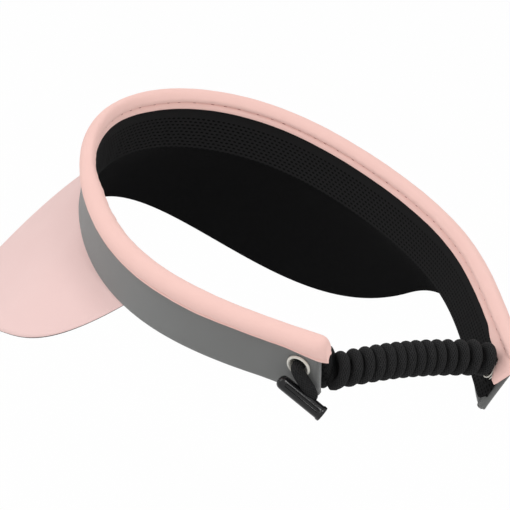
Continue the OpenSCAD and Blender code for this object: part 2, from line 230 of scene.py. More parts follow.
def lean(along):
    """How far the band leans, from three angles along its half length."""
    f = (np.abs(along) / half_length)[..., None]
    front, middle, rear = leans
    return front * 2 * (f - 0.5) * (f - 1) - middle * 4 * f * (f - 1) + rear * 2 * f * (f - 0.5)


def rim(along):
    """A point on the rim. The right arm stands out and hangs lower than the left one."""
    f = np.abs(along) / half_length
    side = np.where(along < 0, -1.0, 1.0)
    bend = np.clip((along - arm_start) / (half_length - arm_start), 0, None) ** 2
    x = side * np.interp(f, plan_share, plan_x) + right_spread * bend
    y = band_front + np.interp(f, plan_share, plan_y)
    z = rim_fall * np.cos(np.pi * f) + rim_dip * np.cos(2 * np.pi * f) - right_droop * bend
    return np.stack([x, y, z], -1)


def normal(along):
    """Straight out of the face of the band."""
    return outward(along) * np.cos(lean(along)) + UP * np.sin(lean(along))


def down(along):
    """Down the face of the band, from the rim."""
    return outward(along) * np.sin(lean(along)) - UP * np.cos(lean(along))


def place(along, out, depth):
    """A point on the band: distance along the rim, out of the band's middle, and down."""
    along, out, depth = np.broadcast_arrays(np.asarray(along, float), out, depth)
    return rim(along) + normal(along) * out[..., None] + down(along) * depth[..., None]


def unit(v):
    return v / np.linalg.norm(v, axis=-1, keepdims=True)


def bezier(corners, t):
    a, b, c, d = (np.asarray(corner, float) for corner in corners)
    t = np.asarray(t, float)[..., None]
    return a * (1 - t) ** 3 + 3 * b * t * (1 - t) ** 2 + 3 * c * t * t * (1 - t) + d * t ** 3


def smooth(t):
    t = np.clip(t, 0, 1)
    return t * t * (3 - 2 * t)


def metres(point):
    return tuple(float(x) * MM for x in point)


def run_length(points):
    """The distance of each point from the first, along the line through them."""
    return np.concatenate([[0], np.cumsum(np.linalg.norm(np.diff(points, axis=0), axis=1))])


def pick(piece):
    """Makes a piece the only one that is selected, and the active one."""
    bpy.ops.object.select_all(action="DESELECT")
    piece.select_set(True)
    bpy.context.view_layer.objects.active = piece


def edit(piece, *steps):
    """Runs mesh operators on the whole piece, in edit mode."""
    pick(piece)
    bpy.ops.object.mode_set(mode="EDIT")
    bpy.ops.mesh.select_all(action="SELECT")
    for step in steps:
        step()
    bpy.ops.object.mode_set(mode="OBJECT")


def grid_piece(name, points, uv):
    """A flat grid of cloth, laid over points[column, row] in mm, with uv in mm as well."""
    columns, rows = points.shape[0] - 1, points.shape[1] - 1
    bpy.ops.object.select_all(action="DESELECT")
    bpy.ops.mesh.primitive_grid_add(x_subdivisions=columns, y_subdivisions=rows, size=1)
    piece = bpy.context.object
    piece.name = piece.data.name = name
    mesh = piece.data
    flat = np.empty(len(mesh.vertices) * 3)
    mesh.vertices.foreach_get("co", flat)
    flat = flat.reshape(-1, 3) + 0.5
    column = np.rint(flat[:, 0] * columns).astype(int)
    row = np.rint(flat[:, 1] * rows).astype(int)
    mesh.vertices.foreach_set("co", (points[column, row] * MM).ravel())
    corner = np.empty(len(mesh.loops), int)
    mesh.loops.foreach_get("vertex_index", corner)
    mesh.uv_layers.active.data.foreach_set("uv", uv[column[corner], row[corner]].ravel())
    mesh.update()
    return piece


def close_tube(piece):
    """Joins the long edges of a grid that was rolled up, and closes its two ends."""
    edit(piece,
         lambda: bpy.ops.mesh.remove_doubles(threshold=2e-6),
         lambda: bpy.ops.mesh.fill_holes(sides=0),
         lambda: bpy.ops.mesh.select_all(action="SELECT"),
         lambda: bpy.ops.mesh.normals_make_consistent(inside=False))


def smooth_shade(piece, angle):
    pick(piece)
    bpy.ops.object.shade_smooth_by_angle(angle=math.radians(angle))


def tube(name, path, radius, sides):
    """A round cord along the points of path, its rings carried along without twist."""
    ahead = unit(np.gradient(path, axis=0))
    side = unit(np.cross(ahead[0], UP))
    rings = []
    for point, forward in zip(path, ahead):
        side = unit(side - forward * (side @ forward))
        angle = np.linspace(0, 2 * np.pi, sides + 1)[:, None]
        rings.append(point + radius * (side * np.cos(angle)
                                       + np.cross(forward, side) * np.sin(angle)))
    around = np.linspace(0, 2 * np.pi * radius, sides + 1)
    uv = np.stack(np.meshgrid(run_length(path), around, indexing="ij"), -1)
    piece = grid_piece(name, np.array(rings), uv)
    close_tube(piece)
    smooth_shade(piece, 50)
    return piece


def eyelet_frame(side):
    """The middle of an arm's eyelet, and its rearward, downward and outward directions."""
    step = 1.875
    middle = place(side * eyelet_at, 0, eyelet_depth)
    rear = unit(place(side * (eyelet_at + step), 0, eyelet_depth)
                - place(side * (eyelet_at - step), 0, eyelet_depth))
    out = side * unit(np.cross(rear, down(np.array(side * eyelet_at))))
    return middle, rear, side * np.cross(out, rear), out


def new_finish(name, values):
    """A material whose even values are set on the shader itself."""
    finish = bpy.data.materials.new(name)
    finish.use_nodes = True
    shader = finish.node_tree.nodes["Principled BSDF"]
    for socket, value in values.items():
        shader.inputs[socket].default_value = value
    return finish, Wire(finish.node_tree)


def feed(finish, socket, wire):
    tree = finish.node_tree
    tree.links.new(wire.socket, tree.nodes["Principled BSDF"].inputs[socket])


def feed_bump(finish, height, distance):
    bump = height.node("ShaderNodeBump", None,
                       {"Strength": 1.0, "Distance": distance, "Height": height})
    feed(finish, "Normal", bump)


def dress(piece, finish):
    piece.data.materials.clear()
    piece.data.materials.append(finish)


def noise(wire, scale, detail=2.0):
    """Fine unevenness of a finish, the same all through the piece."""
    spot = wire.node("ShaderNodeTexCoord", output=3)
    return wire.node("ShaderNodeTexNoise", None,
                     {"Vector": spot, "Scale": scale, "Detail": detail})


def uv_axes(wire):
    """Distances in mm along and across a piece, from its UV map."""
    uv = wire.node("ShaderNodeUVMap", {"uv_map": "UVMap"})
    parts = wire.node("ShaderNodeSeparateXYZ", None, {0: uv})
    return parts, Wire(wire.tree, parts.socket.node.outputs[1])


cord_radius = 1.95
cord_sides = 18
coil_radius = 4.35
coil_first, coil_split, coil_last = -0.5, 6.3, 13.05
coil_line = [(-21.5, -83.3, -21.2), (2.7, -82.8, -18.9), (12.0, -82.4, -19.3),
             (40.1, -81.9, -22.6)]
coil_front = np.array([0.0, -1.0, 0.0])
tail_knots = {"left": [(0, 0, -3.2), (0, 0.3, -6.0), (1.4, 9.0, -7.6), (4.8, 13.0, -4.2),
                       (7.2, 3.2, -4.2), (5.6, -3.2, -6.9), (5.8, 3.6, -9.4)],
              "right": [(0, 0, -3.2), (-0.4, -0.2, -6.2), (-2.2, -3.6, -8.2)]}

black_braid, wire = new_finish("black_braid", {"Roughness": 0.8, "Specular IOR Level": 0.12})
run, around = uv_axes(wire)
strand_count, lay = 14, 1.15
strand = 2 * math.pi * cord_radius / strand_count
rising = (run / lay + around / strand).wave(1.0)
falling = (run / lay - around / strand).wave(1.0)
plait_and_groove_shade = rising.math("MAXIMUM", falling)
fleck = noise(wire, 2600.0)
# The braid's grooves are painted darker than the crowns of its strands, as painted shade; the
# lighter flecks are the cord's own fibres.
feed(black_braid, "Base Color",
     (plait_and_groove_shade.step(0.0, 1.0) * 0.5 + fleck.step(0.5, 0.75) * 0.5).mix((0.004, 0.004, 0.0042, 1),
                                                                    (0.042, 0.042, 0.043, 1)))
feed_bump(black_braid, plait_and_groove_shade * 0.6 + fleck * 0.5, 0.00014)


def coil_point(number):
    """A point on the coil, by its number of turns from the first one that shows whole."""
    share = (number - coil_first) / (coil_last - coil_first)
    angle = (2 * np.pi * (number + 0.25))[..., None]
    ring = coil_front * np.cos(angle) + UP * np.sin(angle)
    return bezier(coil_line, share) + coil_radius * ring


def through(knots, spacing):
    """An evenly spaced smooth curve through the knots."""
    knots = np.asarray(knots)
    longer = np.concatenate([[2 * knots[0] - knots[1]], knots, [2 * knots[-1] - knots[-2]]])
    slopes = (longer[2:] - longer[:-2]) / 6
    share = np.linspace(0, 1, 16, endpoint=False)
    pieces = [bezier([a, a + m, b - n, b], share)
              for a, b, m, n in zip(knots, knots[1:], slopes, slopes[1:])]
    curve = np.concatenate(pieces + [knots[-1:]])
    run = run_length(curve)
    even = np.linspace(0, run[-1], int(run[-1] / spacing) + 1)
    return np.stack([np.interp(even, run, curve[:, k]) for k in range(3)], -1)


def eased(path, tail):
    """The path with the bends of its first stretch, the tail's, made as wide as cord allows."""
    rounds, pull, fade = 28, 0.25, 0.3
    share = smooth((tail - np.arange(len(path))) / (fade * tail))[1:-1, None]
    for again in range(rounds):
        path[1:-1] += share * pull * (path[:-2] - 2 * path[1:-1] + path[2:])
    return path


knots_per_turn = 14
cord_spacing, past_tail = 0.8, 12
coil_middle = bezier(coil_line, (coil_split - coil_first) / (coil_last - coil_first))
coil_halves = {}
cord_paths = {}
for side, word, first in ((-1, "left", coil_first), (1, "right", coil_last)):
    middle, rear, below, out = eyelet_frame(side)
    tail = middle + np.array(tail_knots[word]) @ np.array([rear, below, out])
    count = int(abs(coil_split - first) * knots_per_turn)
    turns = coil_point(np.linspace(first, coil_split, count))
    tail_points = int(run_length(tail)[-1] / cord_spacing) + past_tail
    path = eased(through(np.concatenate([tail, turns]), cord_spacing), tail_points)
    piece = tube(f"coil_cord_{word}", path, cord_radius, cord_sides)
    dress(piece, black_braid)
    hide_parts(f"{word}_coil", f"{word}_coil_tail")
    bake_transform(piece)
    coil_halves[word], cord_paths[word] = piece, path

# The cord's ends: outside each eyelet the cord bends over behind its toggle. The outer
# braid is a little thicker there, because the elastic inside is no longer stretched.
# The near end hangs down, and the far one has swung up beside its arm.
end_radius = 2.25
bar_shift, bar_drop, bar_level = 2.6, 9.0, 6.75
bar_tilt = math.radians(33)
rest_turn = {"left": 0.0, "right": math.radians(75)}
entry_run, entry_short, entry_back, cord_bend = 2.6, 0.6, 2.4, 2.4
cord_start, cord_mouth = -3.1, 2.7
for side, word in SIDES:
    middle, rear, below, out = eyelet_frame(side)
    across = np.array([math.cos(bar_tilt), math.sin(bar_tilt), 0])
    lift = np.array([math.sin(bar_tilt), -math.cos(bar_tilt), 0])
    into = (np.array([bar_shift, bar_drop, bar_level - entry_back]) + across * entry_run
            + lift * entry_short)
    mouth = np.array([0, 0, cord_mouth])
    bow = bezier([mouth, mouth + [0, 0, cord_bend], into + lift * cord_bend, into],
                 np.linspace(0, 1, 40))
    straight = np.linspace([0, 0, cord_start], mouth, 14)[:-1]
    local = np.concatenate([straight, bow])
    swing = rest_turn[word]
    spin = np.array([[math.cos(swing), math.sin(swing), 0],
                     [-math.sin(swing), math.cos(swing), 0], [0, 0, 1]])
    path = middle + local @ spin @ np.array([rear, below, out])
    piece = tube(f"cord_end_{word}", path, end_radius, cord_sides)
    dress(piece, black_braid)
    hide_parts(f"{word}_cord_end")
    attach(piece, f"{word}_toggle")

# The toggles: moulded gloss black bars, each with a domed cap at one end, a flat lip at
# the other and a long channel down its side. The cord's end is pressed in from behind.
bar_length, bar_radius, lip_radius = 19.0, 2.5, 2.75
channel_middle, channel_size = (0.0, 2.55, 0.4), (1.3, 1.7, 14.0)
channel_round = 0.4
channel_turn = math.radians(138)
gloss_black, wire = new_finish("gloss_black", {"Specular IOR Level": 0.26, "Coat Weight": 0.1,
                                               "Coat Roughness": 0.08})
spots = noise(wire, 900.0, 3.0)
feed(gloss_black, "Base Color", spots.mix((0.006, 0.006, 0.0065, 1), (0.012, 0.012, 0.013, 1)))
feed(gloss_black, "Roughness", spots * 0.14 + 0.1)
feed_bump(gloss_black, spots, 0.00002)


def apply_modifier(piece, kind, settings):
    modifier = piece.modifiers.new(kind.lower(), kind)
    for name, value in settings.items():
        setattr(modifier, name, value)
    pick(piece)
    bpy.ops.object.modifier_apply(modifier=modifier.name)


def spun(name, profile, steps):
    """A ring turned about Z from a closed outline of radius and height, in mm."""
    bpy.ops.object.select_all(action="DESELECT")
    bpy.ops.mesh.primitive_circle_add(vertices=len(profile), radius=1.0)
    piece = bpy.context.object
    piece.name = piece.data.name = name
    for vertex, (radius, height) in zip(piece.data.vertices, profile):
        vertex.co = (radius * MM, 0.0, height * MM)
    edit(piece,
         lambda: bpy.ops.mesh.spin(steps=steps, angle=2 * math.pi, center=(0, 0, 0),
                                   axis=(0, 0, 1)),
         lambda: bpy.ops.mesh.select_all(action="SELECT"),
         lambda: bpy.ops.mesh.remove_doubles(threshold=2e-6),
         lambda: bpy.ops.mesh.normals_make_consistent(inside=False))
    return piece


def put_at_eyelet(piece, side, local):
    """Moves a mesh from the eyelet's own frame, turned by local, to its place."""
    middle, rear, below, out = eyelet_frame(side)
    axes = np.eye(4)
    axes[:3, :4] = np.stack([rear, below, out, middle * MM], -1)
    matrix = Matrix(axes.tolist()) @ local
    piece.data.transform(matrix)
    if matrix.determinant() < 0:
        piece.data.flip_normals()


def bar_outline():
    """The toggle's outline from axis to axis: a dome, the bar, a lip and its flat end."""
    half = bar_length / 2
    dome = [(0.0, -half), (0.6, -half + 0.05), (1.2, -half + 0.2), (1.7, -half + 0.48),
            (2.1, -half + 0.9), (2.34, -half + 1.4), (2.46, -half + 2.0)]
    bar = [(bar_radius, z) for z in (-half + 2.8, -3.0, 0.0, 3.0, half - 2.6, half - 1.6)]
    lip = [(2.54, half - 1.45), (lip_radius - 0.05, half - 1.32), (lip_radius, half - 1.15),
           (lip_radius, half - 0.4), (lip_radius - 0.07, half - 0.18), (2.45, half - 0.04),
           (1.8, half), (0.0, half)]
    return dome + bar + lip


for side, word in SIDES:
    piece = spun(f"toggle_bar_{word}", bar_outline(), 40)
    edit(piece, lambda: bpy.ops.mesh.dissolve_degenerate(threshold=2e-6),
         lambda: bpy.ops.mesh.select_all(action="SELECT"),
         lambda: bpy.ops.mesh.normals_make_consistent(inside=False))
    bpy.ops.object.select_all(action="DESELECT")
    bpy.ops.mesh.primitive_cube_add(size=1)
    cutter = bpy.context.object
    cutter.data.transform(Matrix.Translation(metres(channel_middle))
                          @ Matrix.Diagonal(metres(channel_size) + (1,)))
    apply_modifier(cutter, "BEVEL", {"width": channel_round * MM, "segments": 3})
    apply_modifier(piece, "BOOLEAN", {"operation": "DIFFERENCE", "object": cutter,
                                      "solver": "EXACT"})
    bpy.data.objects.remove(cutter)
    local = (Matrix.Rotation(rest_turn[word], 4, "Z")
             @ Matrix.Translation(metres((bar_shift, bar_drop, bar_level)))
             @ Matrix.Rotation(bar_tilt, 4, "Z") @ Matrix.Rotation(math.pi / 2, 4, "Y")
             @ Matrix.Rotation(channel_turn, 4, "Z"))
    put_at_eyelet(piece, side, local)
    smooth_shade(piece, 40)
    dress(piece, gloss_black)
    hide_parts(f"{word}_toggle")
    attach(piece, f"{word}_toggle")

# The eyelets: pressed brass rings with a pale enamel, curled over on the outside of the
# band and flared over a washer on the inside.
pale_enamel, wire = new_finish("pale_enamel", {"Coat Weight": 0.4})
spots = noise(wire, 700.0, 4.0)
feed(pale_enamel, "Base Color", spots.step(0.35, 0.7).mix((0.72, 0.69, 0.61, 1),
                                                          (0.8, 0.78, 0.72, 1)))
feed(pale_enamel, "Roughness", spots * 0.2 + 0.2)
feed_bump(pale_enamel, spots, 0.00003)
eyelet_outline = [(3.0, -2.75), (3.0, 1.2), (3.2, 2.2), (3.4, 2.6), (3.62, 2.76), (3.92, 2.74),
                  (4.18, 2.55), (4.29, 2.28), (4.3, 2.06), (4.2, 1.92), (3.65, 1.9), (3.5, 1.7),
                  (3.4, -2.35), (3.46, -2.56), (3.6, -2.62), (3.7, -2.76), (3.6, -2.94),
                  (3.4, -3.0), (3.15, -2.94)]
washer_outline = [(3.6, -2.42), (3.67, -2.5), (4.2, -2.5), (4.3, -2.4), (4.3, -2.0),
                  (4.2, -1.9), (3.67, -1.9), (3.6, -1.98)]
for side, word in SIDES:
    for kind, outline in (("eyelet", eyelet_outline), ("washer", washer_outline)):
        piece = spun(f"{kind}_ring_{word}", outline, 56)
        put_at_eyelet(piece, side, Matrix.Identity(4))
        smooth_shade(piece, 50)
        dress(piece, pale_enamel)
        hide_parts(f"{word}_{kind}")
        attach(piece, f"{word}_arm")

# The band's inside: a plastic strip that keeps the band's curve, and a foam pad behind
# it. Both run from the middle of the front to the rear end, and the eyelet goes through.
band_height = 20.0
cloth_end = 222.1
bend_from, bend_to = 133.0, 150.0
strip_end, strip_top, strip_bottom = 218.0, 2.8, 18.2
hole_radius = 3.75


def stations(last, step):
    """Distances along the rim, close together at the middle of the front and at the end."""
    front, end, close = 4, 6, 0.5
    first = np.arange(0, front, min(step, close))
    middle = np.linspace(front, last - end, int((last - front - end) / step) + 1)
    return np.concatenate([first, middle, np.linspace(last - end, last, 16)[1:]])


def face_out(piece, inside):
    """Turns an open sheet's faces away from the inside of the band, or towards it."""
    face = piece.data.polygons[len(piece.data.polygons) // 2]
    facing = face.normal.dot(Vector((face.center.x, face.center.y, 0)))
    if (facing < 0) != inside:
        piece.data.flip_normals()


def pierce(piece, side, radius):
    """Cuts the eyelet's hole through a layer."""
    bpy.ops.object.select_all(action="DESELECT")
    bpy.ops.mesh.primitive_cylinder_add(vertices=48, radius=radius * MM, depth=12 * MM)
    drill = bpy.context.object
    put_at_eyelet(drill, side, Matrix.Identity(4))
    apply_modifier(piece, "BOOLEAN", {"operation": "DIFFERENCE", "object": drill,
                                      "solver": "EXACT"})
    bpy.data.objects.remove(drill)


def along_band(piece, word, side, kind):
    """Hides the front and arm parts of this kind, and bakes the strip's place into its mesh."""
    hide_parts(f"front_{kind}", f"{word}_{kind}")
    bend_with_arm(piece, side)


def bend_with_arm(piece, side):
    """Bakes the piece's place into its mesh. The two points by the temple that it works out are
    not used.
    """
    metres(place(side * bend_from, 0, band_height / 2))
    metres(place(side * bend_to, 0, band_height / 2))
    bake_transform(piece)


strip_plastic, wire = new_finish("strip_plastic", {"Roughness": 0.5})
grain = noise(wire, 500.0)
feed(strip_plastic, "Base Color", grain.mix((0.7, 0.68, 0.62, 1), (0.84, 0.82, 0.76, 1)))
feed_bump(strip_plastic, grain, 0.00005)
pad_foam, wire = new_finish("pad_foam", {"Roughness": 0.95})
cells = wire.node("ShaderNodeTexVoronoi", None,
                  {"Vector": wire.node("ShaderNodeTexCoord", output=3), "Scale": 1800.0})
feed(pad_foam, "Base Color", cells.mix((0.4, 0.4, 0.38, 1), (0.66, 0.66, 0.63, 1)))
feed_bump(pad_foam, cells, 0.0002)
for kind, level, thick, finish, slot in (
        ("stiffener", 0.55, 0.8, strip_plastic, "stiffener_plastic"),
        ("foam", -0.1, 0.4, pad_foam, "foam")):
    for side, word in SIDES:
        along = stations(strip_end, 2.0)[:, None]
        depths = np.linspace(strip_top, strip_bottom, 10) + 0 * along
        points = place(side * along + 0 * depths, level, depths)
        uv = np.stack([along + 0 * depths, depths], -1)
        piece = grid_piece(f"{kind}_strip_{word}", points, uv)
        face_out(piece, False)
        apply_modifier(piece, "SOLIDIFY", {"thickness": thick * MM, "offset": 0.0})
        pierce(piece, side, hole_radius)
        smooth_shade(piece, 40)
        dress(piece, finish)
        along_band(piece, word, side, kind)

# The outer cloth: smooth grey satin over the outside of the band. Its lower edge and its
# rear end turn over to the inside, where the hem is held under the sweatband.
outer_level, hem_level = 1.75, -0.9
cloth_thick, cloth_top = 0.45, 2.0
hem_bottom, hem_round = 20.9, 0.75
hem_width, end_flap = 4.2, 3.0
corner_radius = 0.7
end_fall, fall_from, fall_run = 1.6, 196, 24
end_slant, slant_from, slant_run, slant_top, slant_depth = 1.6, 205, 15, 4, 16
turn_radius = (outer_level - hem_level) / 2
turn_middle = (outer_level + hem_level) / 2
grey_satin, wire = new_finish("grey_satin", {"Specular IOR Level": 0.3, "Sheen Weight": 0.62,
                                             "Sheen Roughness": 0.4})
run, fall = uv_axes(wire)
twill = (run / 0.42 + fall / 0.42).wave(1.0) * (run / 0.42 - fall / 0.9).wave(1.0)
cloud = noise(wire, 90.0, 4.0)
shade = cloud * 0.7 + twill * 0.15 + 0.1
feed(grey_satin, "Base Color", shade.mix((0.13, 0.133, 0.13, 1), (0.182, 0.185, 0.181, 1)))
feed(grey_satin, "Roughness", cloud * 0.2 + 0.45)
feed_bump(grey_satin, twill + cloud * 2.0, 0.00005)
for side, word in SIDES:
    flat_end = cloth_end - turn_radius
    straight = stations(flat_end, 1.25)
    swing = np.linspace(0, np.pi, 15)[1:]
    flap = np.linspace(0, end_flap, 6)[1:]
    along = np.concatenate([straight, flat_end + turn_radius * np.sin(swing), flat_end - flap])
    out = np.concatenate([0 * straight + outer_level, turn_middle + turn_radius * np.cos(swing),
                          0 * flap + hem_level])
    in_along = np.concatenate([0 * straight, -np.sin(swing), 0 * flap])
    in_out = np.concatenate([0 * straight - 1, -np.cos(swing), 0 * flap + 1])
    run = np.concatenate([straight, flat_end + turn_radius * swing,
                          flat_end + turn_radius * np.pi + flap])
    kept = np.concatenate([0 * straight + 1, np.clip(1 - 2 * swing / np.pi, 0, 1), 0 * flap])
    left = np.clip(cloth_end - along, 0, corner_radius)
    rounded = corner_radius - np.sqrt(corner_radius ** 2 - (corner_radius - left) ** 2)
    low = hem_bottom - hem_round - rounded + end_fall * smooth((along - fall_from) / fall_run)
    rows = [(0.0, cloth_top + share * (low - cloth_top)) for share in np.linspace(0, 1, 22)]
    for angle in np.linspace(0, np.pi, 13)[1:]:
        around = angle * (0.5 + 0.5 * kept)
        rows.append((turn_radius * (1 - np.cos(around)), low + hem_round * np.sin(around)))
    for share in np.linspace(0, 1, 6)[1:]:
        rows.append((turn_radius * (1 - np.cos(np.pi * (0.5 + 0.5 * kept))),
                     low + hem_round * (1 - kept) - hem_width * share * kept))
    inset = np.stack([row[0] + 0 * low for row in rows], -1)
    depths = np.stack([row[1] for row in rows], -1)
    slant = (end_slant * smooth((along - slant_from) / slant_run)[:, None]
             * np.clip((depths - slant_top) / slant_depth, 0, 1))
    points = place(side * (along[:, None] - slant + in_along[:, None] * inset),
                   out[:, None] + in_out[:, None] * inset, depths)
    fall = run_length(points[0])
    uv = np.stack([run[:, None] + 0 * depths, fall + 0 * depths], -1)
    piece = grid_piece(f"outer_cloth_{word}", points, uv)
    face_out(piece, False)
    apply_modifier(piece, "SOLIDIFY", {"thickness": cloth_thick * MM, "offset": -1.0})
    pierce(piece, side, hole_radius)
    smooth_shade(piece, 40)
    dress(piece, grey_satin)
    along_band(piece, word, side, "shell")

# The sweatband: black open-hole mesh on the inside of the band, with a smooth strip
# under the rim. It is gathered a little at the front, where it is sewn to the curve, and
# it lies over the washer at each end.
inner_level = -1.75
mesh_thick, mesh_top, mesh_bottom = 0.6, 1.6, 20.25
corner_rise, corner_run = 3.6, 5
washer_rise, washer_cover, washer_slope = 1.45, 7, 2.5
gather_run, gather_top, gather_bottom, fold_height = 60, 8, 20, 0.35
cord_hole = 2.9
black_mesh, wire = new_finish("black_mesh", {"Roughness": 0.85, "Specular IOR Level": 0.1})
run, fall = uv_axes(wire)
row_pitch, hole_pitch = 1.4, 2.0
row_number = (fall / row_pitch).math("FLOOR")
odd = (row_number * 0.5).math("FRACT")
cell_x = (run / hole_pitch + odd).math("FRACT") - 0.5
cell_y = (fall / row_pitch).math("FRACT") - 0.5
spread = cell_x * cell_x * 9.0 + cell_y * cell_y * 14.0
mesh_zone = fall.step(6.4, 7.0)
thread_and_hole_shade = 1 - (1 - spread.step(0.5, 1.1)) * mesh_zone
knit = (run / 0.5).wave(1.0) * (fall / 0.45).wave(1.0)
# The holes are painted nearly black, as painted shade seen into them; their rows and the knit are
# the mesh's own pattern.
feed(black_mesh, "Base Color", (thread_and_hole_shade * (knit * 0.25 + 0.75)).mix((0.0005, 0.0005, 0.0005, 1),
                                                                   (0.018, 0.018, 0.0185, 1)))
feed_bump(black_mesh, thread_and_hole_shade + knit * 0.2, 0.0002)
for side, word in SIDES:
    along = stations(cloth_end, 1.25)[:, None]
    low = mesh_bottom - corner_rise * smooth((along - (cloth_end - corner_run)) / corner_run)
    depths = mesh_top + np.linspace(0, 1, 28) * (low - mesh_top)
    gather = (np.clip(1 - along / gather_run, 0, 1) * smooth((depths - gather_top) / 8)
              * smooth((gather_bottom - depths) / 3))
    wander = 0.8 * np.sin(along * 0.31)
    folds = gather * fold_height * np.sin(along * 0.95 + wander + 0.12 * depths)
    from_hole = np.hypot(along - eyelet_at, depths - eyelet_depth)
    over_washer = washer_rise * smooth((washer_cover - from_hole) / washer_slope)
    level = inner_level + folds - 0.1 * gather - over_washer
    points = place(side * along + 0 * depths, level, depths)
    uv = np.stack([along + 0 * depths, depths], -1)
    piece = grid_piece(f"sweat_mesh_{word}", points, uv)
    face_out(piece, True)
    apply_modifier(piece, "SOLIDIFY", {"thickness": mesh_thick * MM, "offset": -1.0})
    pierce(piece, side, cord_hole)
    smooth_shade(piece, 40)
    dress(piece, black_mesh)
    along_band(piece, word, side, "sweatband")

# The rim: pale pink cloth rolled over a foam core along the band's upper edge. A narrow
# hem holds it outside, and a row of stitches and a flat strip hold it inside. The far
# end's strip widens into a flap that is folded to the inside.
roll_radius = 3.8
core_radius, core_lift = 2.2, 0.5
outer_hem, inner_hem = 4.35, 2.95
stitch_pitch = 6.3
stitch_out, stitch_depth = -2.7, 0.3
pinks_lit_and_shaded = {}
# The brim's pink is painted darker and greyer than the rim's, as painted shade on the same cloth:
# the two are lit and shaded copies of one material.
for word, dark, light in (("rim", (0.95, 0.605, 0.545, 1), (0.98, 0.665, 0.605, 1)),
                          ("brim", (0.9, 0.64, 0.612, 1), (0.94, 0.69, 0.66, 1))):
    pinks_lit_and_shaded[word], wire = new_finish(f"{word}_pink", {"Roughness": 0.9, "Specular IOR Level": 0.2,
                                                    "Sheen Weight": 0.08, "Sheen Roughness": 0.5})
    run, across = uv_axes(wire)
    nap = noise(wire, 1500.0, 3.0)
    cloud = noise(wire, 55.0, 3.0)
    weave = (run / 0.4).wave(1.0) * (across / 0.4).wave(1.0)
    tone = cloud * 0.6 + nap * 0.3 + weave * 0.06
    feed(pinks_lit_and_shaded[word], "Base Color", tone.mix(dark, light))
    feed_bump(pinks_lit_and_shaded[word], nap + weave * 0.5, 0.00006)


def rim_outline():
    """The rolled rim's outline of out and depth: outer hem, roll, inner strip, and back."""
    outer = [(1.5, 4.2), (1.75, outer_hem), (2.0, 4.3), (2.14, 4.08), (2.17, 3.8), (2.08, 3.54),
             (2.0, 3.36)]
    angle = np.radians(np.linspace(149, -68, 34))
    roll = list(zip(roll_radius * np.sin(angle), -roll_radius * np.cos(angle)))
    inner = [(-3.5, -0.9), (-3.4, -0.45), (-3.2, -0.1), (-2.95, 0.12),
             (stitch_out + 0.02, stitch_depth), (-2.8, 0.52), (-2.96, 0.8), (-3.16, 1.3),
             (-3.33, 1.8), (-3.44, 2.3), (-3.36, 2.68), (-3.0, 2.9), (-1.95, inner_hem)]
    back = [(-1.4, 2.7), (-1.0, 2.72), (0.6, 2.75), (1.2, 3.4)]
    return np.array(outer + roll + inner + back + outer[:1])


def slimmed(side, along, out):
    """Draws the inside of the roll in where its cloth is tight, left of the front."""
    tight_from, tight_to, most = 5, 100, 0.45
    tight = smooth((along - tight_from) / 30) * smooth((tight_to - along) / 25) * (side < 0)
    return out * (1 - most * tight * (out < 0))


outline = rim_outline()
outline_run = run_length(outline)
crease_run = outline_run[np.argmin(np.abs(outline - [stitch_out, stitch_depth]).sum(1))]
from_crease = outline_run - crease_run
hem_last = 6
hem_run = outline_run[hem_last]
outer_share = np.clip(outline[:, 1] / outer_hem, 0, 1) * (outline[:, 0] > 0)
strip_share = np.clip((outline[:, 1] - stitch_depth) / (inner_hem - stitch_depth), 0, 1)
strip_share = strip_share * (outline[:, 0] < -1.2)
flat_length = 6.0
stitch_at = np.arange(stitch_pitch / 2, half_length - flat_length, stitch_pitch)
stitch_at = stitch_at + 0.9 * np.sin(stitch_at * 1.7)
top_corner, corner_drop = 2.2, 2.6
hem_end_fall, hem_rise = 1.9, 0.6
hem_end_from, rear_rise_from, front_rise_to = 206, 170, 120
strip_from, strip_growth = 198, 1.7
flap_from, flap_run, flap_fall, flap_in = 218.5, 5.5, 5.0, 2.5
